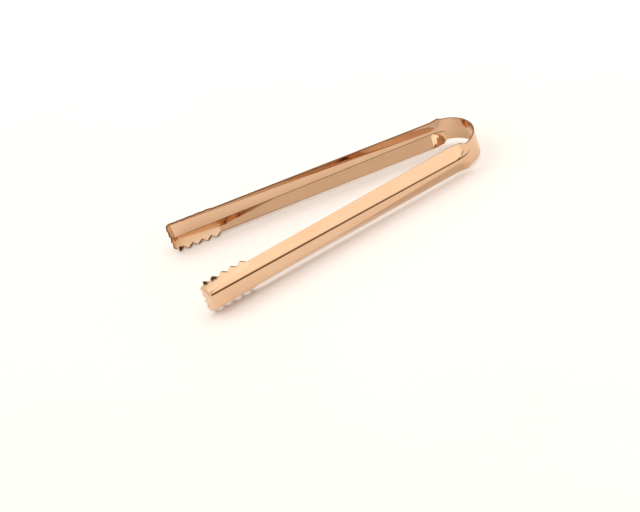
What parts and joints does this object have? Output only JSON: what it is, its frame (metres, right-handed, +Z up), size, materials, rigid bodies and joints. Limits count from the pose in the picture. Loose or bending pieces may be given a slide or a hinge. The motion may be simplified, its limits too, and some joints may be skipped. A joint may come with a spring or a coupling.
{
  "type": "ice tongs",
  "caption": "Spring ice tongs pressed from one metal strip, with a bow that flexes, channel arms and toothed claw jaws for gripping ice.",
  "frame": {"origin": "middle of the bounding box in X and Y, on the surface the tongs lie on, lying on their side", "axes": "+X from the jaws towards the bow, +Y across the spread of the arms towards the far arm, +Z up, along the width of the strip"},
  "size_m": [0.1814, 0.0892, 0.0205],
  "materials": {
    "plating": "polished rose-gold plating on stainless steel"
  },
  "bodies": {
    "crown": {"bow_crown": "plating", "near_bow_inner": "plating", "far_bow_inner": "plating"},
    "near_arm": {"near_bow_middle": "plating", "near_bow_outer": "plating", "near_shoulder": "plating", "near_web": "plating", "near_upper_wall": "plating", "near_lower_wall": "plating", "near_upper_jaw": "plating", "near_lower_jaw": "plating", "near_claw": "plating"},
    "far_arm": {"far_bow_middle": "plating", "far_bow_outer": "plating", "far_shoulder": "plating", "far_web": "plating", "far_upper_wall": "plating", "far_lower_wall": "plating", "far_upper_jaw": "plating", "far_lower_jaw": "plating", "far_claw": "plating"}
  },
  "joints": [
    {"name": "near_flex", "type": "hinge", "parent": "crown", "child": "near_arm", "pos_m": [0.0884, -0.0073, 0.01025], "axis": [0, 0, -1], "range_deg": [-1.2, 11.2], "stiffness_Nm_per_rad": 9.25},
    {"name": "far_flex", "type": "hinge", "parent": "crown", "child": "far_arm", "pos_m": [0.0884, 0.0073, 0.01025], "axis": [0, 0, 1], "range_deg": [-1.2, 11.2], "stiffness_Nm_per_rad": 9.25}
  ],
  "couplings": [
    {"joint": "near_flex", "follows": "far_flex", "ratio": 1}
  ]
}
